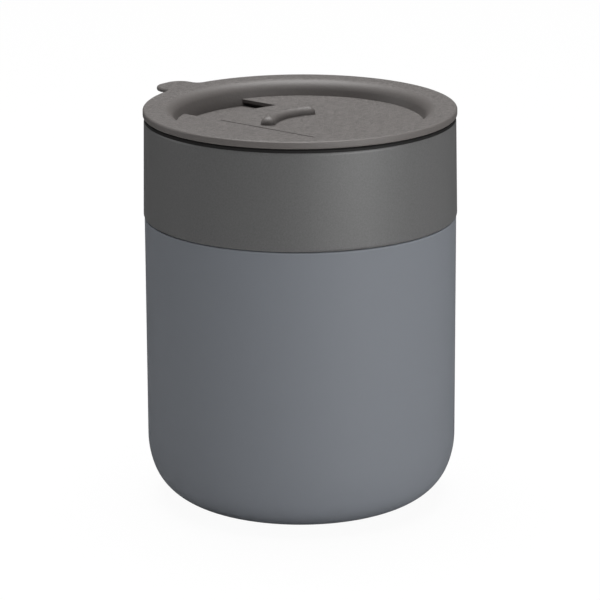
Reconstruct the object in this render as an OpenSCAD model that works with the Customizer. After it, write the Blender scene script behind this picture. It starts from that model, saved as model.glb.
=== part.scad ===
// Soup mug: a ceramic cup in a silicone sleeve, closed by a press-in lid with a sliding sip cover.
// Millimetres. The origin is the middle of the base, on the table, and Z points up. The lift tab
// points along +Y, the side to drink from along -Y, and the slider opens along +Y.

/* [Cup] */
// Outside diameter of the bare ceramic collar
collar_d = 95; // [88:0.5:105]
// Height of the ceramic rim above the table
rim_z = 119.1; // [112:0.1:135]
// Height of the bare collar, from its lower edge to the rim
collar_h = 30.7; // [24:0.1:40]
// How far the collar's face leans in from its lower edge up to the rim
collar_draft = 0.5; // [0:0.05:0.6]
// Thickness of the ceramic wall and floor
ceramic_t = 3.8; // [3.5:0.1:4.4]
// Rounding of the rim's outer edge, which opens the dark line under the lid
rim_outer_r = 2; // [1:0.1:2.1]
// Rounding of the rim's inner edge
rim_inner_r = 0.9; // [0.4:0.1:1]
// Rounding of the collar's lower edge
collar_edge_r = 1.2; // [0.5:0.1:2]
// Height over which the inside widens from the body to the mouth
throat_h = 6; // [3:0.5:10]

/* [Sleeve] */
// Thickness of the silicone
sleeve_t = 2; // [1.5:0.1:2.6]
// How far the sleeve's face lies behind the collar's face
sleeve_step = 0.3; // [0.1:0.05:0.8]
// Open seam between the sleeve's top edge and the collar
seam_gap = 0.35; // [0.2:0.05:1]
// Rounding of the sleeve's top edge
sleeve_edge_r = 0.7; // [0.3:0.1:1.2]
// Clearance between the sleeve and the cup
sleeve_fit = 0.05; // [0.02:0.01:0.1]
// Radius of the upper arc of the base curve, which leaves the straight wall
upper_curve_r = 26; // [20:0.5:32]
// Angle that the upper arc turns through
upper_curve_a = 21; // [10:1:40]
// Radius of the lower arc of the base curve, which runs into the flat base
lower_curve_r = 16; // [10:0.5:19]
// Width of each non-slip groove under the base
tread_w = 1.6; // [1:0.1:2.5]
// Depth of the non-slip grooves
tread_depth = 0.7; // [0.3:0.1:1]
// Radius of the innermost groove
tread_r = 9; // [6:0.5:11]
// Distance from one groove to the next
tread_pitch = 7; // [5:0.5:8]
// How many grooves ring the base
tread_count = 3; // [1:1:3]

/* [Lid cover] */
// Wall of the cover
cover_t = 2.2; // [1.8:0.1:2.6]
// How far the flange stays inside the collar's face
flange_inset = 0.2; // [0:0.05:0.5]
// Rounding of the flange's upper edge
flange_top_r = 0.8; // [0.4:0.1:1.1]
// Rounding of the flange's lower edge
flange_low_r = 0.5; // [0.2:0.1:0.7]
// Radius of the shoulder that rolls from the flange down into the dish
shoulder_r = 4.7; // [4.2:0.1:6]
// Depth of the platforms below the flange's top
dish_depth = 4.7; // [3.8:0.05:5.2]
// Width of the channel between the platforms
channel_w = 26.7; // [22:0.1:34]
// Depth of the channel floor below the platforms
channel_depth = 2.2; // [2:0.05:2.8]
// How far each guide reaches in under its platform
guide_d = 1.75; // [1.2:0.05:2.5]
// Height of the guides above the channel floor
guide_h = 1.1; // [0.8:0.05:1.2]
// Width of the lift tab
tab_w = 13; // [11:0.2:24]
// How far the lift tab stands out from the flange
tab_l = 7.7; // [6:0.1:14]
// Corner radius of the lift tab
tab_corner_r = 5; // [2:0.1:5.4]
// Thickness of the lift tab, whose top lies level with the flange
tab_t = 1.4; // [1.4:0.1:2.2]
// Radius of the hollow corner where the tab leaves the flange
tab_root_r = 2.2; // [1:0.1:4]

/* [Lid plug] */
// How far the skirt reaches down into the mouth from the rim
skirt_l = 10.8; // [8.4:0.1:16]
// Wall of the skirt
skirt_t = 1.8; // [1.6:0.1:2.2]
// Clearance between the skirt and the mouth
skirt_fit = 0.7; // [0.5:0.05:0.9]
// Rounding of the skirt's lower edge
skirt_edge_r = 0.6; // [0.2:0.1:0.8]
// Thickness of the channel floor
floor_t = 2; // [1.5:0.1:2.5]
// Length of the sip hole across the channel
sip_l = 18; // [12:0.5:20]
// Width of the sip hole along the channel
sip_w = 8; // [6:0.25:8.5]
// Land between the sip hole and the wall of the dish
sip_land = 3; // [2.4:0.1:3.5]

/* [Gasket] */
// Land that the plug keeps above and below the gasket's groove
gasket_lip = 1.1; // [0.8:0.05:1.3]
// Depth of the groove in the plug's edge
gasket_seat = 0.8; // [0.5:0.05:1]
// Radius of the two sealing beads
bead_r = 0.5; // [0.3:0.05:0.55]
// Clearance of the beads to the mouth
bead_fit = 0.15; // [0.1:0.05:0.3]
// Clearance of the gasket in its groove
gasket_fit = 0.05; // [0.02:0.01:0.1]

/* [Slider] */
// How far the slider moves to clear the sip hole
travel = 13.5; // [12:0.5:16]
// Side clearance of the slider in the channel
slide_fit = 0.25; // [0.15:0.05:0.4]
// Clearance between the slider's ends and the wall of the dish
end_fit = 0.3; // [0.2:0.05:0.6]
// Running clearance under the slider
run_fit = 0.1; // [0.05:0.05:0.15]
// Thickness of the tongues that run in the guides
tongue_t = 0.8; // [0.5:0.05:0.9]
// Length of the thumb grip along its bow
grip_l = 22; // [16:0.5:25]
// Width of the thumb grip
grip_w = 4; // [3:0.1:4.6]
// Height of the thumb grip above the slider
grip_h = 2.35; // [2.2:0.05:3.3]
// Plan radius of the bowed grip
grip_bow_r = 18.5; // [14:0.5:60]
// Place of the grip's middle along the channel, from the axis, with the slider closed
grip_y = 7.1; // [2:0.1:10]
// How far the foot of the grip splays out where it meets the plate
grip_splay = 0.3; // [0.1:0.1:0.6]
// Thickness of the seal pad
seal_t = 0.95; // [0.6:0.05:1]
// How far the pad reaches past the sip hole on every side
seal_lap = 1.5; // [1:0.1:1.8]
// How far the pad stands out below the slider
seal_proud = 0.05; // [0:0.01:0.05]
// Clearance of the pad in its pocket
seal_fit = 0.05; // [0.02:0.01:0.1]

/* [Hidden] */
$fn = 96;
// Overlap that joins solids and clears cuts
over = 0.5;
// Largest turn from one point of the base curve to the next
arc_step = 2.5;
// How far the hollow corners of the lift tab run into the flange, so that their faces cross
root_lap = 0.05;

// Radii and heights of the cup and the sleeve
collar_r = collar_d / 2;
collar_z = rim_z - collar_h;
collar_lean = atan(collar_draft / collar_h);
mouth_r = collar_r - ceramic_t;
sleeve_r = collar_r - sleeve_step;
seat_in = sleeve_t + sleeve_fit;
bore_in = sleeve_t + ceramic_t;
bore_r = sleeve_r - bore_in;
sleeve_z = collar_z - seam_gap;

// Centres of the two arcs of the base curve, in the plane of the profile
upper_centre = [
    sleeve_r - upper_curve_r,
    lower_curve_r + (upper_curve_r - lower_curve_r) * sin(upper_curve_a)
];
lower_centre = [
    upper_centre.x + (upper_curve_r - lower_curve_r) * cos(upper_curve_a),
    lower_curve_r
];

// Heights and radii of the lid
flange_r = collar_r - flange_inset;
flange_z = rim_z;
lid_z = flange_z + cover_t;
platform_z = lid_z - dish_depth;
channel_z = platform_z - channel_depth;
skirt_r = mouth_r - skirt_fit;
skirt_in_r = skirt_r - skirt_t;
skirt_z = rim_z - skirt_l;
shoulder_z = lid_z - shoulder_r;
dish_r = skirt_in_r - shoulder_r;
tab_y = flange_r + tab_l;

// Sip hole and its seal
sip_y = -(dish_r - sip_land - sip_w / 2);
pocket_l = sip_l + 2 * seal_lap;
pocket_w = sip_w + 2 * seal_lap;
seal_z = channel_z + run_fit - seal_proud;

// Slider
slider_z = channel_z + run_fit;
slider_t = platform_z - slider_z;
slider_half = channel_w / 2 - slide_fit;
tongue_half = channel_w / 2 + guide_d - slide_fit;
slider_end_r = dish_r - end_fit;
grip_half_a = (grip_l - grip_w) / 2 / grip_bow_r * 180 / PI;
grip_end = grip_w / 2 + grip_splay + over;

// Gasket
gasket_z = skirt_z + gasket_lip;
gasket_h = channel_z - gasket_lip - gasket_z;
gasket_in_r = skirt_r - gasket_seat;

// What a round of radius r takes off a square corner that points along +X and +Y from the round's centre
module corner_off(r) {
    difference() {
        square(r + over);
        circle(r);
    }
}

// Points of an arc about a centre, from one angle to another, without its first point
function arc(centre, r, from, to) =
    let (steps = ceil(abs(to - from) / arc_step))
    [for (i = [1 : steps])
        let (a = from + (to - from) * i / steps)
        centre + r * [cos(a), sin(a)]];

// Half of the turned outline of the body, set in from the sleeve's face: a straight wall that runs
// through two tangent arcs into a flat base
module body_outline(inset, top) {
    polygon(concat(
        [[0, inset], [lower_centre.x, inset]],
        arc(lower_centre, lower_curve_r - inset, -90, -upper_curve_a),
        arc(upper_centre, upper_curve_r - inset, -upper_curve_a, 0),
        [[sleeve_r - inset, top], [0, top]]
    ));
}

// Centre of a round at height z whose radius r touches the collar's leaning face
function collar_centre(r, z) =
    [collar_r - (z - collar_z) * tan(collar_lean) - r / cos(collar_lean), z];

// Half of the turned outline of the collar: a face that leans in between two rounded edges
module collar_outline() {
    low = collar_centre(collar_edge_r, collar_z + collar_edge_r);
    high = collar_centre(rim_outer_r, rim_z - rim_outer_r);
    polygon(concat(
        [[0, collar_z], [low.x, collar_z]],
        arc(low, collar_edge_r, -90, collar_lean),
        [high + rim_outer_r * [cos(collar_lean), sin(collar_lean)]],
        arc(high, rim_outer_r, collar_lean, 90),
        [[0, rim_z]]
    ));
}

// The ceramic cup: thin-walled body, thicker collar above the sleeve, rounded rim
module mug_body() {
    color("#5c5b5b") rotate_extrude() difference() {
        union() {
            body_outline(seat_in, collar_z + over);
            collar_outline();
        }
        body_outline(bore_in, collar_z);
        polygon([
            [0, collar_z - over],
            [bore_r, collar_z - over],
            [bore_r, collar_z],
            [mouth_r, collar_z + throat_h],
            [mouth_r, rim_z + over],
            [0, rim_z + over]
        ]);
        translate([mouth_r + rim_inner_r, rim_z - rim_inner_r]) mirror([1, 0]) corner_off(rim_inner_r);
    }
}

// The stretch-on sleeve: an even skin round the body and under its base, with non-slip grooves
module silicone_sleeve() {
    color("#74787e") rotate_extrude() difference() {
        body_outline(0, sleeve_z);
        body_outline(sleeve_t, sleeve_z + over);
        translate([sleeve_r - sleeve_edge_r, sleeve_z - sleeve_edge_r]) corner_off(sleeve_edge_r);
        for (i = [0 : tread_count - 1])
            translate([tread_r + i * tread_pitch - tread_w / 2, -over]) square([tread_w, tread_depth + over]);
    }
}

// Section of the lid's rounded edge, of thickness t below the lid's top and drawn inwards from x = 0
// over the width w
module edge_section(w, t) {
    difference() {
        translate([-w, lid_z - t]) square([w, t]);
        translate([-flange_top_r, lid_z - flange_top_r]) corner_off(flange_top_r);
        translate([-flange_low_r, lid_z - t + flange_low_r]) mirror([0, 1]) corner_off(flange_low_r);
    }
}

// Section of the cover: flange, shoulder rolled through a quarter turn, and below them the wall of the
// dish and the upper part of the skirt, which both stand on the plug
module cover_section() {
    translate([flange_r, 0]) edge_section(flange_r - skirt_in_r, cover_t);
    intersection() {
        translate([skirt_in_r, shoulder_z]) difference() {
            circle(shoulder_r);
            circle(shoulder_r - cover_t);
        }
        translate([dish_r, shoulder_z]) square(shoulder_r);
    }
    translate([dish_r, channel_z]) square([cover_t, shoulder_z - channel_z]);
    translate([skirt_in_r, channel_z]) square([skirt_t, flange_z - channel_z + over]);
}

// The lift tab: a thinner tongue whose edge is rounded like the flange's, swept round the corners and roots
module lift_tab() {
    side_x = tab_w / 2;
    corner_x = side_x - tab_corner_r;
    corner_y = tab_y - tab_corner_r;
    root = [
        side_x + tab_root_r,
        sqrt(pow(flange_r + tab_root_r - root_lap, 2) - pow(side_x + tab_root_r, 2))
    ];
    root_a = atan2(root.y, root.x);
    inner_y = flange_r - 2 * tab_root_r;
    for (side = [0, 1]) mirror([side, 0, 0]) {
        translate([corner_x, corner_y, 0]) {
            rotate_extrude(angle = 90) translate([tab_corner_r, 0]) edge_section(tab_corner_r - over, tab_t);
            translate([0, 0, lid_z - tab_t]) cylinder(r = 2 * over, h = tab_t);
        }
        translate([side_x, corner_y, 0])
            rotate([90, 0, 0]) linear_extrude(corner_y - inner_y) edge_section(side_x, tab_t);
        translate([root.x, root.y, 0])
            rotate([0, 0, 180]) rotate_extrude(angle = root_a)
                translate([tab_root_r, 0]) mirror([1, 0]) edge_section(tab_root_r, tab_t);
        translate([0, tab_y, 0])
            rotate([90, 0, 90]) linear_extrude(corner_x) edge_section(tab_corner_r, tab_t);
    }
}

// One half-moon platform, with the guide cut under its straight edge
module platform() {
    difference() {
        translate([0, 0, channel_z]) linear_extrude(channel_depth) intersection() {
            circle(dish_r + cover_t / 2);
            translate([channel_w / 2, -collar_r]) square([collar_r, collar_d]);
        }
        translate([channel_w / 2 - over, -collar_r, channel_z - over])
            cube([guide_d + over, collar_d, guide_h + over]);
    }
}

// Upper moulding of the lid
module lid_cover() {
    color("#75716f") {
        rotate_extrude() cover_section();
        lift_tab();
        platform();
        mirror([1, 0, 0]) platform();
    }
}

// Outline with round ends, l long across the channel and w wide
module round_slot(l, w) {
    square([l - w, w], center = true);
    for (side = [-1, 1]) translate([side * (l - w) / 2, 0]) circle(w / 2);
}

// Lower moulding of the lid: channel floor with the sip hole, lower part of the skirt, gasket groove
module lid_plug() {
    color("#6f6b69") difference() {
        rotate_extrude() difference() {
            union() {
                translate([0, channel_z - floor_t]) square([skirt_r, floor_t]);
                translate([skirt_in_r, skirt_z]) square([skirt_t, channel_z - skirt_z]);
            }
            translate([gasket_in_r, gasket_z]) square([gasket_seat + over, gasket_h]);
            translate([skirt_r - skirt_edge_r, skirt_z + skirt_edge_r]) mirror([0, 1]) corner_off(skirt_edge_r);
        }
        translate([0, sip_y, channel_z - floor_t - over])
            linear_extrude(floor_t + 2 * over) round_slot(sip_l, sip_w);
    }
}

// Seal ring of the lid, with two round beads that press on the mouth
module lid_gasket() {
    bead_x = mouth_r - bead_fit - bead_r;
    color("#262626") rotate_extrude() {
        translate([gasket_in_r + gasket_fit, gasket_z + gasket_fit])
            square([gasket_seat - gasket_fit, gasket_h - 2 * gasket_fit]);
        for (z = [gasket_z + gasket_h / 4, gasket_z + gasket_h * 3 / 4])
            translate([bead_x, z]) circle(bead_r);
    }
}

// Plan of the slider over the half width: both ends follow the wall of the dish, the front one with
// the slider closed and the rear one with it open
module slider_plan(half) {
    intersection() {
        translate([-half, -collar_r]) square([2 * half, collar_d]);
        circle(slider_end_r);
        translate([0, -travel]) circle(slider_end_r);
    }
}

// Half section of the thumb grip, with its round top and the splay at its foot
module grip_section() {
    half = grip_w / 2;
    side_h = grip_h - half;
    translate([0, side_h]) intersection() {
        circle(half);
        square(half);
    }
    translate([0, -over]) square([half, side_h + over]);
    polygon([
        [0, -over],
        [half + grip_splay + over, -over],
        [half, grip_splay],
        [0, grip_splay]
    ]);
}

// Whole section of the thumb grip
module grip_full_section() {
    grip_section();
    mirror([1, 0]) grip_section();
}

// One half of the bowed thumb grip: swept from the middle along its arc, with a hipped end where the
// same round top also runs across
module grip_half() {
    intersection() {
        translate([0, grip_y - grip_bow_r, platform_z]) rotate([0, 0, 90 - grip_half_a]) {
            rotate_extrude(angle = 2 * grip_half_a) translate([grip_bow_r, 0]) grip_full_section();
            translate([grip_bow_r, 0, 0]) intersection() {
                rotate([90, 0, 0]) linear_extrude(grip_end) grip_full_section();
                rotate([90, 0, -90]) linear_extrude(2 * grip_end, center = true) grip_section();
            }
        }
        translate([0, -collar_r, channel_z]) cube([collar_r, collar_d, collar_r]);
    }
}

// The slider: plate with a tongue along each side, a pocket for the seal and the thumb grip
module slider() {
    color("#787471") {
        difference() {
            union() {
                translate([0, 0, slider_z]) linear_extrude(slider_t) slider_plan(slider_half);
                translate([0, 0, slider_z]) linear_extrude(tongue_t) slider_plan(tongue_half);
            }
            translate([0, sip_y, slider_z - over])
                linear_extrude(seal_t - seal_proud + over) round_slot(pocket_l, pocket_w);
        }
        grip_half();
        mirror([1, 0, 0]) grip_half();
    }
}

// The silicone pad that closes the sip hole
module slider_seal() {
    color("#2e2e2e") translate([0, sip_y, seal_z])
        linear_extrude(seal_t) round_slot(pocket_l - 2 * seal_fit, pocket_w - 2 * seal_fit);
}

mug_body();
silicone_sleeve();
lid_cover();
lid_plug();
lid_gasket();
slider();
slider_seal();
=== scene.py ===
from functools import cache
from math import acos, asin, atan2, ceil, cos, hypot, pi, radians, sin, sqrt, tan, tau

import bmesh
import bpy
from bpy.props import FloatProperty, FloatVectorProperty, IntProperty, PointerProperty
from bpy.types import Operator, Panel, PropertyGroup
from mathutils import Matrix, Vector


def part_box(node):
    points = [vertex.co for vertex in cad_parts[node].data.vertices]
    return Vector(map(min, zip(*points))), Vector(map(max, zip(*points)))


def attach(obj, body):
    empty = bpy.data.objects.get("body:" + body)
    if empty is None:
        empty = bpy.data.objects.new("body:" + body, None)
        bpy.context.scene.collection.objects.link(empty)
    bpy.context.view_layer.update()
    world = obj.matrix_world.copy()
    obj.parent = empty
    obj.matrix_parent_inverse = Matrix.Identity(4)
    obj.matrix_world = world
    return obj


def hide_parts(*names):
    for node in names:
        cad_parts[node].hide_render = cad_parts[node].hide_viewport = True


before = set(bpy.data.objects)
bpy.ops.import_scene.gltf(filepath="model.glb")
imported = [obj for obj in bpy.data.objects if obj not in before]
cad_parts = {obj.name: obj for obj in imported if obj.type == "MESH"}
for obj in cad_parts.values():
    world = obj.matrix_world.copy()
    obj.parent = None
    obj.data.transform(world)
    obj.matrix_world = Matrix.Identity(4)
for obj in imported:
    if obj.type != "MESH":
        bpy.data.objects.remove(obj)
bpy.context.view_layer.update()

bl_info = {
    "name": "Soup mug",
    "version": (1, 0, 0),
    "blender": (4, 5, 0),
    "location": "View3D > Sidebar > Soup mug",
    "description": "Dresses the CAD frame of a sleeved soup mug with a slide lid",
    "category": "Object",
}

MM = 0.001
# Points closer than this are one point
WELD = 1e-6
# Distance of the extra loop that keeps a flat face flat beside a rounding
SUPPORT = 0.15 * MM
# Largest turn from one point of an arc to the next
EDGE_STEP = radians(30)
ROUND_STEP = radians(11)
HOLLOW_STEP = radians(8)
GRIP_STEP = radians(7)
ROLL_STEP = radians(4)
CURVE_STEP = radians(2.5)
FLANGE_STEP = radians(1.6)
# Steps of the outlines whose rings need equally many points
SLOT_STEPS, END_STEPS, SIDE_STEPS, BOW_STEPS, CORNER_STEPS = 18, 40, 24, 30, 8
PLATFORM_ROWS = 48
STAGE_SIDES = 96
# Edges that turn more than this are shaded as edges
SHARP_ANGLE = radians(34)
WHITE = (1.0, 1.0, 1.0, 1.0)


def high(node):
    """Highest corner of a CAD node's box."""
    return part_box(node)[1]


def low(node):
    """Lowest corner of a CAD node's box."""
    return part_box(node)[0]


def setting(kind, **fixed):
    """A maker of settings of one kind, which a user may change."""
    def make(name, description, default, **more):
        return kind(name=name, description=description, default=default, **fixed, **more)
    return make


# Lengths are in metres, and colours are linear
length = setting(FloatProperty, min=0.0, precision=5, unit="LENGTH", subtype="DISTANCE")
turn = setting(FloatProperty, unit="ROTATION", subtype="ANGLE")
share = setting(FloatProperty, min=0.0, subtype="FACTOR")
colour = setting(FloatVectorProperty, size=3, min=0.0, max=1.0, subtype="COLOR")
focal = setting(FloatProperty, unit="CAMERA")
number = setting(IntProperty)


class CupSizes(PropertyGroup):
    """Sizes of the ceramic cup and of the sleeve round it"""

    collar_radius: length("Collar radius", "Outside radius of the collar at its lower edge", 47.49 * MM)
    collar_draft: length("Collar draft", "How far the collar's face leans in up to the rim", 0.5 * MM)
    rim_height: length("Rim height", "Height of the rim above the table", high("mug_body").z)
    collar_height: length("Collar height", "Height of the bare collar", 30.7 * MM)
    wall: length("Wall", "Thickness of the ceramic", 3.8 * MM)
    rim_outer: length("Rim outer rounding", "Rounding of the rim's outer edge", 2 * MM)
    rim_inner: length("Rim inner rounding", "Rounding of the rim's inner edge", 0.9 * MM)
    collar_edge: length("Collar edge rounding", "Rounding of the collar's lower edge", 0.8 * MM)
    throat: length("Throat height", "Height over which the inside widens to the mouth", 6 * MM)
    throat_round: length("Throat rounding", "Rounding at both ends of the throat", 8 * MM)
    seat_inset: length("Seat inset", "Distance of the cup's face behind the sleeve's face", 2.05 * MM)
    sleeve_radius: length("Sleeve radius", "Outside radius of the sleeve", high("silicone_sleeve").x)
    sleeve_height: length("Sleeve height", "Height of the sleeve's top edge",
                          high("silicone_sleeve").z + 0.25 * MM)
    sleeve_wall: length("Sleeve wall", "Thickness of the silicone", 2 * MM)
    sleeve_edge: length("Sleeve edge rounding", "Rounding of the sleeve's top edge", 0.45 * MM)
    upper_curve: length("Upper base curve", "Radius of the curve that leaves the straight wall", 26 * MM)
    upper_turn: turn("Upper turn", "Angle that the upper base curve turns through", radians(21))
    lower_curve: length("Lower base curve", "Radius of the curve that runs into the flat base", 16 * MM)
    tread_width: length("Tread width", "Width of each non-slip groove under the base", 1.6 * MM)
    tread_depth: length("Tread depth", "Depth of the non-slip grooves", 0.7 * MM)
    tread_radius: length("Tread radius", "Radius of the innermost groove", 9 * MM)
    tread_pitch: length("Tread pitch", "Distance from one groove to the next", 7 * MM)
    tread_count: number("Tread count", "How many grooves ring the base", 3, min=1)
    segments: number("Segments", "Sides of the turned pieces", 224, min=24)


class LidSizes(PropertyGroup):
    """Sizes of the lid's two mouldings and of its seal ring"""

    flange_radius: length("Flange radius", "Outside radius of the flange", high("lid_cover").x)
    top: length("Top", "Height of the flange's top", high("lid_cover").z)
    tab_reach: length("Tab reach", "Distance of the lift tab's tip from the axis", high("lid_cover").y)
    cover_wall: length("Cover wall", "Wall of the cover", 2.2 * MM)
    edge_top: length("Upper edge rounding", "Rounding of the flange's upper edge", 0.6 * MM)
    edge_low: length("Lower edge rounding", "Rounding of the flange's lower edge", 0.5 * MM)
    shoulder: length("Shoulder", "Radius of the shoulder that rolls into the dish", 4.2 * MM)
    dish_radius: length("Dish radius", "Radius of the dish's wall where it meets the platforms", 37.3 * MM)
    dish_lean: turn("Dish lean", "How far the dish's wall leans out from upright", radians(16))
    hollow: length("Hollow", "Width and rounding of the hollow behind the dish's wall", 2.5 * MM)
    dish_depth: length("Dish depth", "Depth of the platforms below the flange's top", 4.7 * MM)
    channel_half: length("Channel half width", "Half of the channel between the platforms", 13.35 * MM)
    channel_floor: length("Channel floor", "Height of the channel floor", high("lid_plug").z)
    guide_depth: length("Guide depth", "How far a guide reaches in under its platform", 1.75 * MM)
    guide_height: length("Guide height", "Height of the guides above the channel floor", 1.1 * MM)
    platform_edge: length("Platform edge rounding", "Rounding of the platforms' straight edges", 0.12 * MM)
    tab_half: length("Tab half width", "Half of the lift tab's width", 6.5 * MM)
    tab_wall: length("Tab thickness", "Thickness of the lift tab below the flange's top", 1.4 * MM)
    tab_corner: length("Tab corner", "Corner radius of the lift tab", 5 * MM)
    tab_root: length("Tab root", "Radius of the hollow corners beside the tab", 2.2 * MM)
    skirt_radius: length("Skirt radius", "Outside radius of the skirt", high("lid_plug").x)
    skirt_bottom: length("Skirt bottom", "Height of the skirt's lower edge", low("lid_plug").z)
    skirt_wall: length("Skirt wall", "Wall of the skirt", 1.8 * MM)
    skirt_edge: length("Skirt edge rounding", "Rounding of the skirt's lower edges", 0.6 * MM)
    floor_wall: length("Floor", "Thickness of the channel floor", 2 * MM)
    groove_lip: length("Groove lip", "Land above and below the gasket's groove", 1.1 * MM)
    groove_depth: length("Groove depth", "Depth of the gasket's groove", 0.8 * MM)
    bead: length("Bead", "Radius of the gasket's two sealing beads", 0.5 * MM)
    # The seal's lip is a painted shadow: a dark piece under the flange that stands in for its shadow on the
    # rim
    shadow_lip_groove: length("Lip groove", "Chamfer of the seal's lip under the flange", 0.45 * MM)
    sip_length: length("Sip length", "Length of the sip hole across the channel", 18 * MM)
    sip_width: length("Sip width", "Width of the sip hole along the channel", 8 * MM)
    sip_place: length("Sip place", "Distance of the sip hole from the axis", 29.5 * MM)
    sip_edge: length("Sip edge rounding", "Rounding of the sip hole's edges", 0.5 * MM)


class SliderSizes(PropertyGroup):
    """Sizes of the slider and of the pad under it"""

    bottom: length("Bottom", "Height of the slider's underside", low("slider").z)
    half_width: length("Half width", "Half of the plate's width", 13.1 * MM)
    tongue_half: length("Tongue half width", "Half of the width over the tongues", high("slider").x)
    tongue: length("Tongue", "Thickness of the tongues", 0.8 * MM)
    end_radius: length("End radius", "Plan radius of the plate's two ends", -low("slider").y)
    travel: length("Travel", "How far the slider moves", 13.5 * MM)
    plate_rise: length("Plate rise", "How far the plate stands above the platforms", 0.12 * MM)
    plate_edge: length("Plate edge rounding", "Rounding of the plate's upper edge", 0.18 * MM)
    grip_length: length("Grip length", "Length of the thumb grip along its bow", 23.6 * MM)
    grip_half: length("Grip half width", "Half of the thumb grip's width", 2.2 * MM)
    grip_corner: share("Grip corner", "How round the corners of the grip's ends are", 0.75)
    grip_top: length("Grip top", "Height of the thumb grip's ridge", high("slider").z + 0.35 * MM)
    grip_bow: length("Grip bow", "Plan radius of the bowed grip", 18.5 * MM)
    grip_place: length("Grip place", "Distance of the grip's middle from the axis", 7.1 * MM)
    grip_foot: length("Grip foot", "Radius of the hollow where the grip meets the plate", 0.3 * MM)
    pad_bottom: length("Pad bottom", "Height of the pad's underside", low("slider_seal").z)
    pad_top: length("Pad top", "Height of the pad's upper face", high("slider_seal").z)
    pad_lap: length("Pad lap", "How far the pad reaches past the sip hole", 1.45 * MM)
    pad_edge: length("Pad edge rounding", "Rounding of the pad's edges", 0.3 * MM)
    pad_land: length("Pad land", "Width of the raised band that seals", 1.3 * MM)


class Finishes(PropertyGroup):
    """Colours and textures of the finishes"""

    glaze: colour("Glaze", "Satin glaze of the cup", (0.0985, 0.0985, 0.0985))
    silicone: colour("Sleeve silicone", "Matte silicone of the sleeve", (0.1525, 0.163, 0.1805))
    plastic: colour("Lid plastic", "Grained plastic of the lid", (0.110, 0.101, 0.0965))
    seal: colour("Seal silicone", "Dark silicone of the seals", (0.014, 0.0135, 0.0135))
    grain: length("Grain", "Size of the lid's moulded grain", 1.5 * MM)
    speckle: length("Speckle", "Size of the glaze's speckle", 0.45 * MM)


class Studio(PropertyGroup):
    """Light, floor and camera"""

    ambient: share("Ambient", "Strength of the even light all round", 0.042)
    floor_grey: share("Floor", "Share of light that the floor gives back to the mug", 0.9)
    floor_white: share("Floor white", "How far the floor shows as plain white to the camera", 0.95)
    floor_hole: length("Floor hole", "Radius of the floor's opening under the mug", 30 * MM)
    card_grey: share("Card grey", "Tone of the card that reflections see", 0.09)
    camera_distance: length("Camera distance", "Level distance of the camera from the axis", 1.0)
    camera_height: length("Camera height", "Height of the camera above the table", 0.34249)
    camera_side: turn("Camera side", "Plan direction that the camera looks in", radians(40))
    camera_aim: turn("Camera aim", "How far the camera looks to the left of the axis", 0.00025)
    camera_pitch: turn("Camera pitch", "How far the camera looks down", 0.274491)
    camera_roll: turn("Camera roll", "Turn of the camera about its own axis", -0.0045975)
    camera_lens: focal("Lens", "Focal length on a 36 mm sensor", 204.09)


class MugSettings(PropertyGroup):
    """Everything that a user may change"""

    cup: PointerProperty(type=CupSizes, name="Cup", description="Sizes of the cup and the sleeve")
    lid: PointerProperty(type=LidSizes, name="Lid", description="Sizes of the lid")
    slider: PointerProperty(type=SliderSizes, name="Slider", description="Sizes of the slider")
    finish: PointerProperty(type=Finishes, name="Finishes", description="Colours and textures")
    studio: PointerProperty(type=Studio, name="Studio", description="Light, floor and camera")


# Node graphs

def arithmetic(operation, reflected=False):
    """An operator's method, which adds a Math node to the graph."""
    def method(self, other):
        return self.graph.math(operation, *((other, self) if reflected else (self, other)))
    return method


class Value:
    """A node's output, whose arithmetic adds Math nodes to its graph."""

    def __init__(self, graph, socket):
        self.graph, self.socket = graph, socket

    __add__, __radd__ = arithmetic("ADD"), arithmetic("ADD", reflected=True)
    __sub__, __rsub__ = arithmetic("SUBTRACT"), arithmetic("SUBTRACT", reflected=True)
    __mul__, __rmul__ = arithmetic("MULTIPLY"), arithmetic("MULTIPLY", reflected=True)
    __truediv__ = arithmetic("DIVIDE")


class Graph:
    """A node tree that is filled by expressions."""

    def __init__(self, tree):
        self.tree = tree

    def node(self, kind, sockets=None, out=0, **settings):
        """Adds a node: its settings first, then values or links for its sockets. Returns one output."""
        made = self.tree.nodes.new(kind)
        for key, value in settings.items():
            if key == "stops":
                self.set_stops(made.color_ramp, value)
            else:
                setattr(made, key, value)
        for key, value in (sockets or {}).items():
            if isinstance(value, Value):
                self.tree.links.new(value.socket, made.inputs[key])
            else:
                made.inputs[key].default_value = value
        return Value(self, made.outputs[out]) if made.outputs else made

    @staticmethod
    def set_stops(ramp, stops):
        """Gives a ramp its (place, grey) stops."""
        while len(ramp.elements) < len(stops):
            ramp.elements.new(1.0)
        for element, (place, grey) in zip(ramp.elements, stops):
            element.position, element.color = place, (grey, grey, grey, 1.0)

    def math(self, operation, *operands):
        return self.node("ShaderNodeMath", dict(enumerate(operands)), operation=operation)

    def axis(self, vector, letter):
        """One coordinate of a vector."""
        return self.node("ShaderNodeSeparateXYZ", {0: vector}, out=letter)

    def mix(self, factor, first, second):
        """Mixes two colours."""
        return self.node("ShaderNodeMix", {0: factor, 6: first, 7: second}, out=2, data_type="RGBA")

    def blend(self, factor, first, second):
        """Mixes two shaders."""
        return self.node("ShaderNodeMixShader", {0: factor, 1: first, 2: second})

    def ramp(self, value, *stops):
        return self.node("ShaderNodeValToRGB", {"Fac": value}, stops=stops)


def rgba(colour_value, factor=1.0):
    """A colour with alpha, made lighter or darker."""
    return tuple(min(1.0, c * factor) for c in colour_value) + (1.0,)


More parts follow.
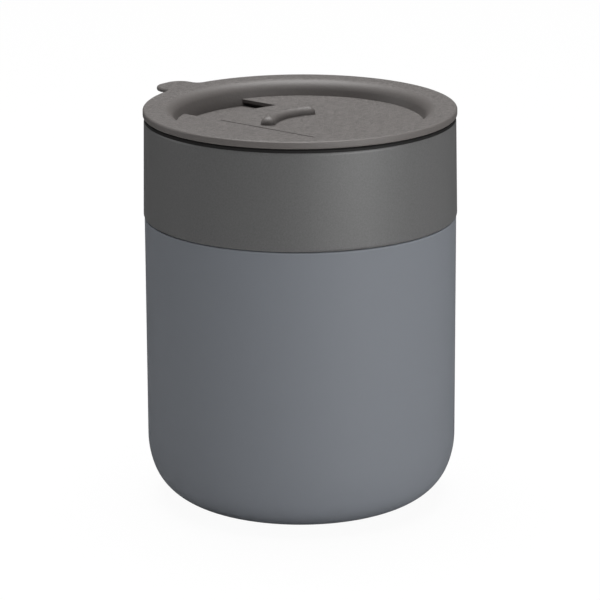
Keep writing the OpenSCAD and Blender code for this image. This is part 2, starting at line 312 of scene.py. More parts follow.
class Finish(Graph):
    """A material under construction."""

    def __init__(self, name):
        self.material = bpy.data.materials.new(name)
        self.material.use_nodes = True
        super().__init__(self.material.node_tree)
        self.tree.nodes.clear()
        self.place = self.node("ShaderNodeTexCoord", out="Object")

    def noise(self, size, detail=2.0, roughness=0.5, seed=0.0):
        """Noise whose lumps are about one size wide, in metres."""
        shifted = self.node("ShaderNodeVectorMath", {0: self.place, 1: (seed,) * 3}, operation="ADD")
        return self.node("ShaderNodeTexNoise", {"Vector": shifted, "Scale": 1.0 / size, "Detail": detail,
                                                "Roughness": roughness}, noise_dimensions="3D")

    def bump(self, height, distance, under=None):
        """A normal from a height, laid over another bump where one is given."""
        sockets = {"Height": height, "Distance": distance, "Strength": 1.0}
        if under is not None:
            sockets["Normal"] = under
        return self.node("ShaderNodeBump", sockets)

    def end(self, shader):
        """Ends the material in a shader."""
        self.node("ShaderNodeOutputMaterial", {"Surface": shader})
        return self.material

    def close(self, **sockets):
        """Ends in a Principled shader. Words in the names stand for the socket's words."""
        named = {key.replace("_", " ").title().replace("Ior", "IOR"): sockets[key] for key in sockets}
        return self.end(self.node("ShaderNodeBsdfPrincipled", named))


def glaze_finish(finish):
    """Satin glaze: fine light and dark speckle over a slow drift, with a soft gloss."""
    make = Finish("satin glaze")
    drift_size, ripple_size, relief = 14 * MM, 2.6 * MM, 0.010 * MM
    speckle = make.noise(finish.speckle, detail=1.5, roughness=0.6)
    flecks = make.ramp(speckle, (0.30, 0.0), (0.50, 0.5), (0.72, 1.0))
    drift = make.noise(drift_size, seed=3.1)
    shade = make.mix(flecks, rgba(finish.glaze, 0.90), rgba(finish.glaze, 1.12))
    shade = make.mix(drift * 0.18, shade, rgba(finish.glaze, 1.06))
    ripple = make.bump(make.noise(ripple_size, detail=1.0, seed=7.7), relief)
    tooth = make.bump(speckle, relief, under=ripple)
    return make.close(base_color=shade, roughness=0.36 + 0.06 * speckle, normal=tooth,
                      specular_ior_level=0.36)


def silicone_finish(finish):
    """Matte silicone: a faint dusty drift, a microscopic tooth and a painted highlight along the top edge.
    """
    make = Finish("sleeve silicone")
    dust_size, drift_size, tooth_depth = 0.35 * MM, 22 * MM, 0.006 * MM
    edge_depth, edge_fade = 0.7 * MM, 0.4 * MM
    dust = make.noise(dust_size)
    drift = make.noise(drift_size, detail=3.0, seed=1.7)
    shade = make.mix(dust, rgba(finish.silicone, 0.975), rgba(finish.silicone, 1.025))
    shade = make.mix(drift * 0.20, shade, rgba(finish.silicone, 1.05))
    # Painted highlight: the top edge is made paler, as where its rounding catches the light from above.
    edge = bpy.context.scene.soup_mug.cup.sleeve_height - edge_depth
    painted_highlight = make.ramp((make.axis(make.place, "Z") - edge) / edge_fade, (0.0, 0.0), (1.0, 1.0))
    shade = make.mix(painted_highlight, shade, rgba(finish.silicone, 1.22))
    return make.close(base_color=shade, roughness=0.46 + 0.06 * drift, normal=make.bump(dust, tooth_depth),
                      specular_ior_level=0.12)


def plastic_finish(finish):
    """Moulded plastic: level faces have a sandy grain of light and dark specks, others are smoother."""
    make = Finish("grained lid plastic")
    fine_size, pit_depth = finish.grain / 4, 0.8 * MM
    coarse = make.noise(finish.grain, detail=2.5, roughness=0.85)
    fine = make.noise(fine_size, detail=1.0, seed=5.3)
    facing = make.axis(make.node("ShaderNodeTexCoord", out="Normal"), "Z")
    sandy = make.ramp(facing, (0.90, 0.12), (0.985, 1.0))
    grain = (0.65 * coarse + 0.35 * fine - 0.5) * sandy
    tone = make.ramp(grain + 0.5, (0.38, 0.0), (0.5, 0.5), (0.62, 1.0))
    shade = make.mix(tone, rgba(finish.plastic, 0.70), rgba(finish.plastic, 1.30))
    return make.close(base_color=shade, roughness=0.42 + 0.08 * (1 - fine),
                      normal=make.bump(grain, pit_depth), specular_ior_level=0.36)


def seal_finish(finish):
    """Dark silicone of the gasket and the pad."""
    make = Finish("seal silicone")
    dust_size, tooth_depth = 0.5 * MM, 0.008 * MM
    dust = make.noise(dust_size)
    shade = make.mix(dust, rgba(finish.seal, 0.85), rgba(finish.seal, 1.3))
    return make.close(base_color=shade, roughness=0.46 + 0.12 * dust, normal=make.bump(dust, tooth_depth),
                      specular_ior_level=0.10)


FINISHES = {
    "ceramic": glaze_finish,
    "sleeve_silicone": silicone_finish,
    "lid_plastic": plastic_finish,
    "seal_silicone": seal_finish,
}


@cache
def finish_of(slot):
    """The material of a record slot, made when it is first asked for."""
    return FINISHES[slot](bpy.context.scene.soup_mug.finish)


# Paths in a plane

def arc(centre, radius, start, end, step=ROUND_STEP, count=None):
    """Points of an arc about a centre, both ends included."""
    count = count or max(2, ceil(abs(end - start) / step))
    angles = [start + (end - start) * i / count for i in range(count + 1)]
    return [Vector((centre[0] + radius * cos(a), centre[1] + radius * sin(a))) for a in angles]


def plain(points):
    """Points of a path as corners without rounding."""
    return [(p[0], p[1], 0.0) for p in points]


def rounded(corners):
    """A path through (x, y, radius) corners. A support point stands beside each rounding."""
    path = []
    for i, (x, y, radius) in enumerate(corners):
        here = Vector((x, y))
        if radius <= 0 or i in (0, len(corners) - 1):
            path.append(here)
            continue
        back, ahead = (Vector(corners[j][:2]) - here for j in (i - 1, i + 1))
        half = back.angle(ahead) / 2
        reach = radius / tan(half)
        behind, onward = back.normalized(), ahead.normalized()
        centre = here + (behind + onward).normalized() * radius / sin(half)
        first, last = here + behind * reach - centre, here + onward * reach - centre
        start = atan2(first.y, first.x)
        sweep = (atan2(last.y, last.x) - start + pi) % tau - pi
        room = 2 * reach + 2 * SUPPORT
        if back.length > room:
            path.append(here + behind * (reach + SUPPORT))
        path += arc(centre, radius, start, start + sweep)
        if ahead.length > room:
            path.append(here + onward * (reach + SUPPORT))
    return path


def base_curve(cup, inset):
    """The body's profile from the edge of its flat base up its base curve, set in from the sleeve."""
    tilt, step_in = cup.upper_turn, cup.upper_curve - cup.lower_curve
    upper = Vector((cup.sleeve_radius - cup.upper_curve, cup.lower_curve + step_in * sin(tilt)))
    lower = Vector((upper.x + step_in * cos(tilt), cup.lower_curve))
    return ([Vector((lower.x, inset))]
            + arc(lower, cup.lower_curve - inset, -pi / 2, -tilt, CURVE_STEP)[1:]
            + arc(upper, cup.upper_curve - inset, -tilt, 0.0, CURVE_STEP)[1:])


def slot_ring(lid, grow, z):
    """Points round the sip hole at a height, set out from it by a distance."""
    half_length, half_width = lid.sip_length / 2 + grow, lid.sip_width / 2 + grow
    points = []
    for side in (1, -1):
        centre = (side * (half_length - half_width), -lid.sip_place)
        start = -side * pi / 2
        points += arc(centre, half_width, start, start + pi, count=SLOT_STEPS)
    return level(points, z)


# Meshes

def turning_tree():
    """Geometry Nodes that turn a profile of points, radius along X and height along Z, about the axis."""
    tree = bpy.data.node_groups.new("Turned piece", "GeometryNodeTree")
    for name, kind in (("Profile", "Geometry"), ("Profile points", "Int"), ("Segments", "Int"),
                       ("Weld distance", "Float"), ("Material", "Material")):
        tree.interface.new_socket(name, in_out="INPUT", socket_type="NodeSocket" + kind)
    tree.interface.new_socket("Mesh", in_out="OUTPUT", socket_type="NodeSocketGeometry")
    make = Graph(tree)
    given = tree.nodes.new("NodeGroupInput")
    profile, points, segments, near, material = (Value(make, given.outputs[i]) for i in range(5))
    columns = segments + 1
    grid = make.node("GeometryNodeMeshGrid", {"Vertices X": points, "Vertices Y": columns})
    index = make.node("GeometryNodeInputIndex")
    row = make.math("FLOOR", (index + 0.5) / columns)
    angle = (index - row * columns) * tau / segments
    spot = make.node("GeometryNodeSampleIndex",
                     {"Geometry": profile, "Value": make.node("GeometryNodeInputPosition"), "Index": row},
                     data_type="FLOAT_VECTOR", domain="POINT")
    radius, height = make.axis(spot, "X"), make.axis(spot, "Z")
    place = make.node("ShaderNodeCombineXYZ", {"X": radius * make.math("COSINE", angle),
                                              "Y": radius * make.math("SINE", angle), "Z": height})
    turned = make.node("GeometryNodeSetPosition", {"Geometry": grid, "Position": place})
    closed = make.node("GeometryNodeMergeByDistance", {"Geometry": turned, "Distance": near})
    smooth = make.node("GeometryNodeSetShadeSmooth", {"Geometry": closed, "Shade Smooth": True})
    real = make.node("GeometryNodeRealizeInstances", {"Geometry": smooth})
    dressed = make.node("GeometryNodeSetMaterial", {"Geometry": real, "Material": material})
    make.node("NodeGroupOutput", {"Mesh": dressed})
    return tree


def put(name, data):
    """Puts an object into the scene."""
    made = bpy.data.objects.new(name, data)
    bpy.context.scene.collection.objects.link(made)
    return made


def solved(bench):
    """The mesh that an object's modifiers make. The object itself goes."""
    mesh = bpy.data.meshes.new_from_object(bench.evaluated_get(bpy.context.evaluated_depsgraph_get()))
    bench.modifiers.clear()
    bpy.data.objects.remove(bench)
    return mesh


def turned_mesh(path, segments, slot):
    """A plain mesh from the turning tree."""
    tree = bpy.data.node_groups.get("Turned piece") or turning_tree()
    profile = bpy.data.meshes.new("profile")
    profile.from_pydata([(p.x, 0.0, p.y) for p in path], [(i, i + 1) for i in range(len(path) - 1)], [])
    bench = put("bench", profile)
    modifier = bench.modifiers.new("Turned piece", "NODES")
    modifier.node_group = tree
    values = {"Profile points": len(path), "Segments": segments, "Weld distance": WELD,
              "Material": finish_of(slot)}
    for item in tree.interface.items_tree:
        if item.name in values:
            modifier[item.identifier] = values[item.name]
    return solved(bench)


def loft(mesh, rings, wrap=False):
    """Joins rings of equally many points by faces. Returns the rows of vertices."""
    rows = [[mesh.verts.new(point) for point in ring] for ring in rings]
    for row, following in zip(rows, rows[1:] + rows[:1] if wrap else rows[1:]):
        for i in range(len(row)):
            mesh.faces.new((row[i - 1], row[i], following[i], following[i - 1]))
    return rows


def fill(mesh, *rows):
    """Fills a flat face inside its outer row, with the other rows as holes."""
    edges = []
    for row in rows:
        for i in range(len(row)):
            pair = (row[i - 1], row[i])
            edges.append(mesh.edges.get(pair) or mesh.edges.new(pair))
    bmesh.ops.triangle_fill(mesh, use_beauty=True, use_dissolve=False, edges=edges)


def level(points, z):
    """Plan points at a height."""
    return [(p[0], p[1], z) for p in points]


def circle(radius, angles, z):
    """Points of a circle at a height."""
    return [(radius * cos(a), radius * sin(a), z) for a in angles]


def even_angles(count):
    return [tau * i / count for i in range(count)]


def weld(shape):
    """Merges the doubled points of a bmesh and turns its faces outwards."""
    bmesh.ops.remove_doubles(shape, verts=shape.verts, dist=WELD)
    bmesh.ops.recalc_face_normals(shape, faces=shape.faces)


def closed_mesh(shape):
    """Welds a bmesh and gives it as a mesh."""
    weld(shape)
    mesh = bpy.data.meshes.new("closed")
    shape.to_mesh(mesh)
    shape.free()
    return mesh


def capped(rings):
    """A closed mesh through rings, with a flat face at both ends."""
    shape = bmesh.new()
    rows = loft(shape, rings)
    fill(shape, rows[0])
    fill(shape, rows[-1])
    return closed_mesh(shape)


def merge(mesh, operation, *others):
    """Joins other closed meshes to a closed mesh, or cuts them away from it."""
    base = put("bench", mesh)
    tools = [put("tool", other) for other in others]
    for tool in tools:
        modifier = base.modifiers.new("Merge", "BOOLEAN")
        modifier.operation, modifier.solver, modifier.object = operation, "MANIFOLD", tool
    result = solved(base)
    for tool in tools:
        bpy.data.objects.remove(tool)
    return result


def finish_piece(name, mesh, body, node, slot):
    """Makes a mesh a finished piece that stands for a CAD node and rides on its body."""
    shape = bmesh.new()
    shape.from_mesh(mesh)
    weld(shape)
    open_edges = [edge for edge in shape.edges if not edge.is_manifold]
    shape.to_mesh(mesh)
    shape.free()
    if open_edges:
        raise RuntimeError(f"{name} is not closed: {len(open_edges)} open edges")
    mesh.name = name
    mesh.materials.clear()
    mesh.materials.append(finish_of(slot))
    mesh.shade_smooth()
    mesh.set_sharp_from_angle(angle=SHARP_ANGLE)
    made = put(name, mesh)
    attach(made, body)
    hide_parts(node)


# Pieces

class SOUPMUG_OT_cup(Operator):
    """Turn the ceramic cup"""

    bl_idname = "soupmug.cup"
    bl_label = "Ceramic cup"

    def execute(self, context):
        cup = context.scene.soup_mug.cup
        collar_bottom = cup.rim_height - cup.collar_height
        mouth = cup.collar_radius - cup.wall
        seat, bore_inset = cup.seat_inset, cup.sleeve_wall + cup.wall
        bore, seat_corner = cup.sleeve_radius - bore_inset, 0.4 * MM
        profile = rounded(
            [(0.0, seat, 0.0)] + plain(base_curve(cup, seat))
            + [(cup.sleeve_radius - seat, collar_bottom, seat_corner),
               (cup.collar_radius, collar_bottom, cup.collar_edge),
               (cup.collar_radius - cup.collar_draft, cup.rim_height, cup.rim_outer),
               (mouth, cup.rim_height, cup.rim_inner),
               (mouth, collar_bottom + cup.throat, cup.throat_round),
               (bore, collar_bottom, cup.throat_round)]
            + plain(reversed(base_curve(cup, bore_inset))) + [(0.0, bore_inset, 0.0)])
        mesh = turned_mesh(profile, cup.segments, "ceramic")
        finish_piece("ceramic_cup", mesh, "cup", "mug_body", "ceramic")
        return {"FINISHED"}


class SOUPMUG_OT_sleeve(Operator):
    """Turn the silicone sleeve with the non-slip grooves under its base"""

    bl_idname = "soupmug.sleeve"
    bl_label = "Silicone sleeve"

    def execute(self, context):
        cup = context.scene.soup_mug.cup
        corners = [(0.0, 0.0, 0.0)]
        lip, root, inner_edge = 0.25 * MM, 0.2 * MM, 0.25 * MM
        for i in range(cup.tread_count):
            middle = cup.tread_radius + i * cup.tread_pitch
            inner, outer = middle - cup.tread_width / 2, middle + cup.tread_width / 2
            corners += [(inner, 0.0, lip), (inner, cup.tread_depth, root),
                        (outer, cup.tread_depth, root), (outer, 0.0, lip)]
        corners += plain(base_curve(cup, 0.0))
        corners += [(cup.sleeve_radius, cup.sleeve_height, cup.sleeve_edge),
                    (cup.sleeve_radius - cup.sleeve_wall, cup.sleeve_height, inner_edge)]
        corners += plain(reversed(base_curve(cup, cup.sleeve_wall))) + [(0.0, cup.sleeve_wall, 0.0)]
        mesh = turned_mesh(rounded(corners), cup.segments, "sleeve_silicone")
        finish_piece("sleeve_skin", mesh, "cup", "silicone_sleeve", "sleeve_silicone")
        return {"FINISHED"}


def flange_edge(lid):
    """Outline of the flange with its lift tab, counter-clockwise, as (point, outward direction)."""
    radius, root = lid.flange_radius, lid.tab_root
    side_shares, tip_shares = (0.35, 0.65, 1.0), (0.6, 0.2, 0.0)
    corner = Vector((lid.tab_half - lid.tab_corner, lid.tab_reach - lid.tab_corner))
    hollow = Vector((lid.tab_half + root, 0.0))
    hollow.y = sqrt((radius + root) ** 2 - hollow.x ** 2)
    root_turn = atan2(hollow.y, hollow.x)
    half = [(p, p.normalized()) for p in arc((0, 0), radius, -pi / 2, root_turn, FLANGE_STEP)]
    half += [(p, (hollow - p).normalized())
             for p in arc(hollow, root, root_turn + pi, pi, HOLLOW_STEP)[1:]]
    half += [(Vector((lid.tab_half, hollow.y + (corner.y - hollow.y) * t)), Vector((1.0, 0.0)))
             for t in side_shares]
    half += [(p, (p - corner).normalized()) for p in arc(corner, lid.tab_corner, 0.0, pi / 2)[1:]]
    half += [(Vector((corner.x * t, lid.tab_reach)), Vector((0.0, 1.0))) for t in tip_shares]
    other = [(Vector((-p.x, p.y)), Vector((-n.x, n.y))) for p, n in reversed(half[1:-1])]
    return half + other


def dish_wall(lid, z):
    """Radius of the dish's leaning wall at a height below its shoulder."""
    return lid.dish_radius + (z - lid.top + lid.dish_depth) * tan(lid.dish_lean)


def cover_shell(lid):
    """Flange, lift tab, rolled shoulder, dish wall and upper skirt, lofted round the axis."""
    outline = flange_edge(lid)
    band, ledge_inset, skirt_root = 1.2 * MM, 2.2 * MM, 0.3 * MM
    angles = [atan2(p.y - n.y * band, p.x - n.x * band) for p, n in outline]
    top, radius, floor = lid.top, lid.flange_radius, lid.channel_floor
    flange_bottom, tab_bottom = top - lid.cover_wall, top - lid.tab_wall
    skirt_inside, ledge = lid.skirt_radius - lid.skirt_wall, radius - ledge_inset
    wall_top = top - lid.shoulder * (1 - sin(lid.dish_lean))
    roll = Vector((dish_wall(lid, wall_top) + lid.shoulder * cos(lid.dish_lean), top - lid.shoulder))
    back = Vector((skirt_inside, flange_bottom - lid.hollow))

    def offset(distance, z):
        return [(p.x - n.x * distance, p.y - n.y * distance, z) for p, n in outline]

    def beyond(distance, z):
        """The outline set in by a distance, but never inside the flange's own round edge."""
        pairs = zip(offset(distance, z), circle(radius, angles, z))
        return [out if hypot(out[0], out[1]) > radius else on for out, on in pairs]

    def turned(path):
        return [circle(p[0], angles, p[1]) for p in path]

    def lower_edge(bottom):
        """A lower edge's rounding, as distances in and heights."""
        edge = lid.edge_low
        return [(edge + SUPPORT, bottom), *arc((edge, bottom + edge), edge, -pi / 2, -pi)]

    rings = turned(rounded([(lid.skirt_radius, floor, 0.0), (lid.skirt_radius, flange_bottom, skirt_root),
                            (ledge, flange_bottom, 0.0)]))
    rings += turned([(radius - p[0], p[1]) for p in lower_edge(flange_bottom)])
    rings.append(circle(radius, angles, tab_bottom))
    rings += [beyond(*p) for p in lower_edge(tab_bottom)]
    rings += [offset(*p) for p in arc((lid.edge_top, top - lid.edge_top), lid.edge_top, pi, pi / 2)]
    rings += [offset(lid.edge_top + SUPPORT, top), offset(band, top)]
    rings += turned([(ledge, top), (roll.x + 2 * SUPPORT, top),
                     *arc(roll, lid.shoulder, pi / 2, pi - lid.dish_lean, ROLL_STEP),
                     (dish_wall(lid, floor), floor), (skirt_inside - lid.hollow, floor),
                     *arc(back, lid.hollow, pi, pi / 2, HOLLOW_STEP), (skirt_inside, floor)])
    shape = bmesh.new()
    loft(shape, rings, wrap=True)
    return closed_mesh(shape)


def platform(lid, side):
    """One half-moon platform with the guide under its straight edge, lofted along the channel."""
    lap, gap = 0.5 * MM, 0.01 * MM
    top, bottom = lid.top - lid.dish_depth, lid.channel_floor + gap
    under = lid.channel_floor + lid.guide_height
    back = lid.channel_half + lid.guide_depth
    reach = dish_wall(lid, top) + lap
    end = sqrt(reach ** 2 - (back + lap) ** 2)
    rings = []
    for i in range(PLATFORM_ROWS + 1):
        y = end * sin(pi * (i / PLATFORM_ROWS - 0.5))
        far = sqrt(reach ** 2 - y ** 2)
        section = rounded([(far, top, 0.0), (lid.channel_half, top, lid.platform_edge),
                           (lid.channel_half, under, lid.platform_edge), (back, under, 0.0),
                           (back, bottom, 0.0), (far, bottom, 0.0)])
        rings.append([(side * p.x, y, p.y) for p in section])
    shape = bmesh.new()
    made = loft(shape, rings)
    shape.faces.new(made[0])
    shape.faces.new(made[-1])
    return closed_mesh(shape)


class SOUPMUG_OT_lid_top(Operator):
    """Loft the lid's upper moulding with its lift tab, shoulder and platforms"""

    bl_idname = "soupmug.lid_top"
    bl_label = "Lid cover"

    def execute(self, context):
        lid = context.scene.soup_mug.lid
        mesh = merge(cover_shell(lid), "UNION", platform(lid, 1), platform(lid, -1))
        finish_piece("lid_top", mesh, "lid", "lid_cover", "lid_plastic")
        return {"FINISHED"}


class SOUPMUG_OT_lid_base(Operator):
    """Loft the lid's lower moulding with the sip hole and the gasket's groove"""

    bl_idname = "soupmug.lid_base"
    bl_label = "Lid plug"

    def execute(self, context):
        settings = context.scene.soup_mug
        lid = settings.lid
        angles = even_angles(settings.cup.segments)
        radius, inside = lid.skirt_radius, lid.skirt_radius - lid.skirt_wall
        top, bottom = lid.channel_floor, lid.channel_floor - lid.floor_wall
        groove = radius - lid.groove_depth
        groove_low, groove_high = lid.skirt_bottom + lid.groove_lip, top - lid.groove_lip
        lip, root, rim, inner_rim = 0.15 * MM, 0.8 * MM, 1 * MM, 2 * MM
        section = rounded([
            (inside - inner_rim, bottom, 0.0), (inside, bottom, root),
            (inside, lid.skirt_bottom, lid.skirt_edge), (radius, lid.skirt_bottom, lid.skirt_edge),
            (radius, groove_low, lip), (groove, groove_low, lip),
            (groove, groove_high, lip), (radius, groove_high, lip),
            (radius, top, lip), (radius - rim, top, 0.0)])
        hole = [(lid.sip_edge - p.x, p.y) for p in rounded([
            (-rim, top, 0.0), (lid.sip_edge, top, lid.sip_edge),
            (lid.sip_edge, bottom, lid.sip_edge), (-rim, bottom, 0.0)])]
        shape = bmesh.new()
        skirt = loft(shape, [circle(p.x, angles, p.y) for p in section])
        well = loft(shape, [slot_ring(lid, grow, z) for grow, z in hole])
        fill(shape, skirt[-1], well[0])
        fill(shape, skirt[0], well[-1])
        finish_piece("lid_base", closed_mesh(shape), "lid", "lid_plug", "lid_plastic")
        return {"FINISHED"}


def slider_plan(slider, half, inset=0.0):
    """Outline of the slider, set in evenly: both ends follow the wall of the dish."""
    half, radius = half - inset, slider.end_radius - inset
    spread = asin(half / radius)
    front = arc((0, 0), radius, -pi / 2 - spread, -pi / 2 + spread, count=END_STEPS)
    rear = arc((0, -slider.travel), radius, pi / 2 - spread, pi / 2 + spread, count=END_STEPS)
    steps = [i / SIDE_STEPS for i in range(1, SIDE_STEPS)]
    right = [front[-1].lerp(rear[0], t) for t in steps]
    left = [rear[-1].lerp(front[0], t) for t in steps]
    return front + right + rear + left


def bow_outline(slider, width):
    """Outline at one distance from the grip's bowed middle line, with rounded corners."""
    bow, middle = slider.grip_bow, Vector((0.0, slider.grip_place - slider.grip_bow))
    half_turn = (slider.grip_length / 2 - slider.grip_half) / bow
    corner, end_shares = width * slider.grip_corner, (0.25, 0.5, 0.75)
    outer = arc(middle, bow + width, pi / 2 - half_turn, pi / 2 + half_turn, count=BOW_STEPS)
    inner = arc(middle, bow - width, pi / 2 + half_turn, pi / 2 - half_turn, count=BOW_STEPS)
    ends = []
    for sign in (1, -1):
        direction = pi / 2 + sign * half_turn
        out = Vector((cos(direction), sin(direction)))
        along = Vector((-out.y, out.x)) * sign
        end = middle + bow * out
        centres = [end + along * (width - corner) + out * side * (width - corner) for side in (sign, -sign)]
        start = direction if sign > 0 else direction + pi
        points = arc(centres[0], corner, start, start + pi / 2, count=CORNER_STEPS)
        points += [centres[0].lerp(centres[1], t) + along * corner for t in end_shares]
        points += arc(centres[1], corner, start + pi / 2, start + pi, count=CORNER_STEPS)
        ends.append(points)
    return outer + ends[0] + inner + ends[1]


class SOUPMUG_OT_slide(Operator):
    """Loft the slider with its tongues, bowed thumb grip and pocket for the pad"""

    bl_idname = "soupmug.slide"
    bl_label = "Slider"

    def execute(self, context):
        settings = context.scene.soup_mug
        slider, lid = settings.slider, settings.lid
        top = lid.top - lid.dish_depth + slider.plate_rise
        foot, half, edge = slider.grip_foot, slider.grip_half, slider.plate_edge
        inset, slack, below = 0.1 * MM, 0.05 * MM, 1 * MM
        side = slider.grip_top - half
        shape = bmesh.new()
        steps = [(0.0, slider.bottom + slider.tongue / 2),
                 *arc((edge, top - edge), edge, pi, pi / 2, EDGE_STEP), (edge + SUPPORT, top)]
        plate = loft(shape, [level(slider_plan(slider, slider.half_width, p[0]), p[1]) for p in steps])
        fill(shape, plate[0])
        outline = [(half + foot + SUPPORT, top), *arc((half + foot, top + foot), foot, -pi / 2, -pi),
                   *arc((0.0, side), half, 0.0, pi / 2, GRIP_STEP)]
        grip = loft(shape, [level(bow_outline(slider, max(p[0], 0.0)), p[1]) for p in outline])
        fill(shape, plate[-1], grip[0])
        upper = closed_mesh(shape)
        lower = capped([level(slider_plan(slider, slider.tongue_half + inset, inset), z)
                        for z in (slider.bottom, slider.bottom + slider.tongue)])
        pocket = capped([slot_ring(lid, slider.pad_lap + slack, z)
                         for z in (slider.bottom - below, slider.pad_top)])
        mesh = merge(merge(upper, "UNION", lower), "DIFFERENCE", pocket)
        finish_piece("sip_slide", mesh, "sip_slider", "slider", "lid_plastic")
        return {"FINISHED"}


def shadow_lip_section(cup, lid):
    """Section of the seal's dark lip, which fills the corner between the flange and the rounded rim: a
    painted shadow, a dark piece that stands in for the flange's shadow on the rim.
    """
    gap = 0.05 * MM
    under = lid.top - lid.cover_wall - gap
    face = cup.collar_radius - cup.collar_draft - gap
    rim = Vector((cup.collar_radius - cup.collar_draft - cup.rim_outer, cup.rim_height - cup.rim_outer))
    radius = cup.rim_outer + gap
    lower, upper = acos((face - gap - rim.x) / radius), asin((under - 2 * gap - rim.y) / radius)
    inside = arc(rim, radius, upper, lower)
    start = inside[0] + Vector((0.0, gap))
    return [start, *inside, Vector((face, inside[-1].y)), Vector((face, under - lid.shadow_lip_groove)),
            Vector((face - lid.shadow_lip_groove, under)), start]


class SOUPMUG_OT_seals(Operator):
    """Turn the lid's seal ring with its dark lip, a painted shadow under the flange, and loft the slider's
    pad
    """

    bl_idname = "soupmug.seals"
    bl_label = "Seals"

    def execute(self, context):
        settings = context.scene.soup_mug
        lid, slider = settings.lid, settings.slider
        slack, corner, bead_places = 0.05 * MM, 0.2 * MM, (0.25, 0.75)
        bottom, top = low("lid_gasket").z, high("lid_gasket").z
        middle, outer = (bottom + top) / 2, high("lid_gasket").x
        inner, face = lid.skirt_radius - lid.groove_depth + slack, lid.skirt_radius
        lean = acos((outer - lid.bead - face) / lid.bead)
        corners = [(inner, middle, 0.0), (inner, bottom, corner), (face, bottom, corner)]
        for place in bead_places:
            bead = (outer - lid.bead, bottom + (top - bottom) * place)
            corners += plain(arc(bead, lid.bead, lean - pi, pi - lean))
        corners += [(face, top, corner), (inner, top, corner), (inner, middle, 0.0)]
        shape = bmesh.new()
        # The second path is the dark lip: a painted shadow that stands in for the flange's shadow on the
        # rounded rim
        for path in (rounded(corners), shadow_lip_section(settings.cup, lid)):
            shape.from_mesh(turned_mesh(path, settings.cup.segments, "seal_silicone"))
        finish_piece("lid_ring", closed_mesh(shape), "lid", "lid_gasket", "seal_silicone")

        land, hollow, crease, inner_rim, border = slider.pad_land, 0.25 * MM, 0.1 * MM, 1 * MM, 2 * MM
        section = rounded([
            (-border, slider.pad_top, 0.0), (0.0, slider.pad_top, crease),
            (0.0, slider.pad_bottom, slider.pad_edge), (-land, slider.pad_bottom, crease),
            (-land - hollow, slider.pad_bottom + hollow, crease),
            (-land - inner_rim, slider.pad_bottom + hollow, 0.0)])
        pad = capped([slot_ring(lid, slider.pad_lap + p.x, p.y) for p in section])
        finish_piece("sip_pad", pad, "sip_slider", "slider_seal", "seal_silicone")
        return {"FINISHED"}


# Stage

# Area lamps: name, direction from the mug as turn from the camera to the right and height in degrees,
# distance, width and height in metres, and power in watts
LAMPS = (
    ("back lamp", 180.0, 82.0, 1.3, 1.0, 1.0, 24.0),
    ("front lamp", 22.0, 4.0, 1.3, 0.6, 0.28, 3.8),
    ("key lamp", 44.0, 4.0, 1.3, 0.5, 0.28, 6.1),
    ("side lamp", 64.0, 4.0, 1.3, 0.5, 0.28, 2.0),
    ("left lamp", -100.0, 14.0, 1.3, 0.6, 0.6, 2.2),
    ("under lamp", 0.0, -90.0, 0.9, 0.4, 0.4, 5.0),
)


def seen_white(make):
    """1 for the camera, mirrors and glass, which see plain white."""
    rays = ("Is Camera Ray", "Is Glossy Ray", "Is Transmission Ray")
    found = [make.node("ShaderNodeLightPath", out=ray) for ray in rays]
    return make.math("MAXIMUM", make.math("MAXIMUM", found[0], found[1]), found[2])


def make_world(scene, studio):
    world = bpy.data.worlds.new("studio")
    world.use_nodes = True
    world.node_tree.nodes.clear()
    make = Graph(world.node_tree)
    even = make.node("ShaderNodeBackground", {"Color": WHITE, "Strength": studio.ambient})
    white = make.node("ShaderNodeBackground", {"Color": WHITE, "Strength": 1.0})
    make.node("ShaderNodeOutputWorld", {"Surface": make.blend(seen_white(make), even, white)})
    scene.world = world


def stage_piece(name, shape, material, depth):
    """Lays a piece of the stage a little below the table's height."""
    mesh = bpy.data.meshes.new(name)
    shape.to_mesh(mesh)
    shape.free()
    mesh.materials.append(material)
    made = put(name, mesh)
    made.location.z = -depth
    return made


def make_floor(studio):
    """A pale floor, open under the mug's flat base, so that views from below show it."""
    radii, depth, drift_size = (8.0, 2.0, 0.4, studio.floor_hole), 0.05 * MM, 0.2
    shape = bmesh.new()
    loft(shape, [circle(radius, even_angles(STAGE_SIDES), 0.0) for radius in radii])
    make = Finish("pale floor")
    grey = (studio.floor_grey,) * 3
    shade = make.mix(make.noise(drift_size), rgba(grey, 0.98), rgba(grey))
    matte = make.node("ShaderNodeBsdfDiffuse", {"Color": shade})
    white_matte = make.node("ShaderNodeBsdfDiffuse", {"Color": rgba(WHITE[:3], 0.96)})
    glow = make.node("ShaderNodeEmission", {"Color": WHITE, "Strength": 1.0})
    surface = make.blend(seen_white(make), matte, make.blend(studio.floor_white, white_matte, glow))
    behind = make.node("ShaderNodeNewGeometry", out="Backfacing")
    whole = make.blend(behind, surface, make.node("ShaderNodeBsdfTransparent"))
    stage_piece("floor", shape, make.end(whole), depth)


def make_card(studio):
    """A dim card under and round the mug that only reflections see, so that its edges stay dark."""
    core, reach, tall, depth = 0.03, 1.6, 1.2, 0.02 * MM
    shape = bmesh.new()
    rows = loft(shape, [circle(radius, even_angles(STAGE_SIDES), z)
                        for radius, z in ((core, 0.0), (reach, 0.0), (reach, tall))])
    fill(shape, rows[0])
    make = Finish("dim card")
    grey = make.node("ShaderNodeEmission", {"Color": WHITE, "Strength": studio.card_grey})
    card = stage_piece("card", shape, make.end(grey), depth)
    for ray in ("camera", "diffuse", "transmission", "volume_scatter", "shadow"):
        setattr(card, "visible_" + ray, False)


def way(plan, rise):
    """Direction of a plan angle and an angle above the table."""
    return Vector((cos(plan) * cos(rise), sin(plan) * cos(rise), sin(rise)))


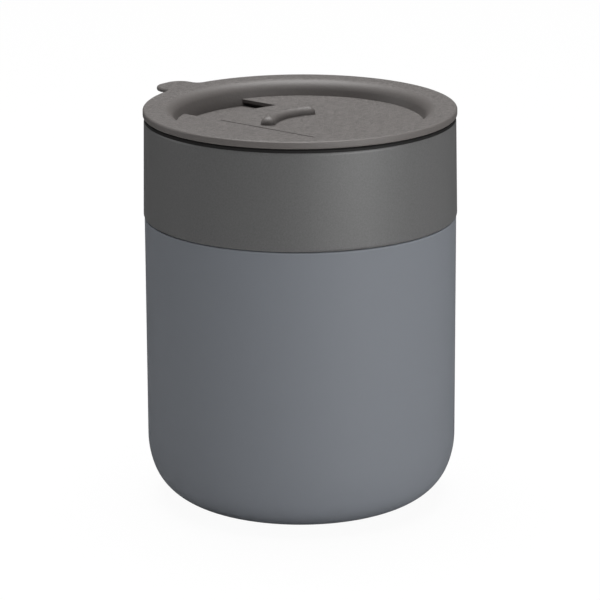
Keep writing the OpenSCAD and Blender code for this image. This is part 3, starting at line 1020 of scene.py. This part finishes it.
def make_lamps(studio):
    target = Vector((0.0, 0.0, 0.06))
    for name, side, rise, distance, width, tall, power in LAMPS:
        towards = way(studio.camera_side + pi + radians(side), radians(rise))
        lamp = bpy.data.lights.new(name, "AREA")
        lamp.shape, lamp.size, lamp.size_y, lamp.energy = "RECTANGLE", width, tall, power
        made = put(name, lamp)
        made.location = target + towards * distance
        made.rotation_euler = (-towards).to_track_quat("-Z", "Y").to_euler()


def make_camera(scene, studio):
    lens = bpy.data.cameras.new("camera")
    lens.lens, lens.sensor_width = studio.camera_lens, 36.0
    lens.clip_start, lens.clip_end = 0.05, 50.0
    made = put("camera", lens)
    look = way(studio.camera_side + studio.camera_aim, -studio.camera_pitch)
    place = -way(studio.camera_side, 0.0) * studio.camera_distance
    place.z = studio.camera_height
    aimed = look.to_track_quat("-Z", "Y").to_matrix().to_4x4()
    made.matrix_world = Matrix.Translation(place) @ aimed @ Matrix.Rotation(studio.camera_roll, 4, "Z")
    scene.camera = made


class SOUPMUG_OT_stage(Operator):
    """Set up the white floor, the soft studio light and the camera"""

    bl_idname = "soupmug.stage"
    bl_label = "Stage"

    def execute(self, context):
        scene, studio = context.scene, context.scene.soup_mug.studio
        scene.view_settings.view_transform = "Standard"
        make_world(scene, studio)
        make_floor(studio)
        make_card(studio)
        make_lamps(studio)
        make_camera(scene, studio)
        return {"FINISHED"}


class SOUPMUG_PT_panel(Panel):
    """Lists the mug's pieces and the stage"""

    bl_idname = "SOUPMUG_PT_panel"
    bl_label = "Soup mug"
    bl_space_type = "VIEW_3D"
    bl_region_type = "UI"
    bl_category = "Soup mug"

    def draw(self, context):
        for operator in OPERATORS:
            self.layout.operator(operator.bl_idname)


GROUPS = (CupSizes, LidSizes, SliderSizes, Finishes, Studio, MugSettings)
OPERATORS = (SOUPMUG_OT_cup, SOUPMUG_OT_sleeve, SOUPMUG_OT_lid_top, SOUPMUG_OT_lid_base, SOUPMUG_OT_slide,
             SOUPMUG_OT_seals, SOUPMUG_OT_stage)
CLASSES = GROUPS + OPERATORS + (SOUPMUG_PT_panel,)


def register():
    for made in CLASSES:
        bpy.utils.register_class(made)
    bpy.types.Scene.soup_mug = PointerProperty(type=MugSettings, name="Soup mug",
                                               description="The mug's settings")


def unregister():
    del bpy.types.Scene.soup_mug
    for made in reversed(CLASSES):
        bpy.utils.unregister_class(made)


def main():
    register()
    for operator in OPERATORS:
        group, name = operator.bl_idname.split(".")
        getattr(getattr(bpy.ops, group), name)()


if __name__ == "__main__":
    main()
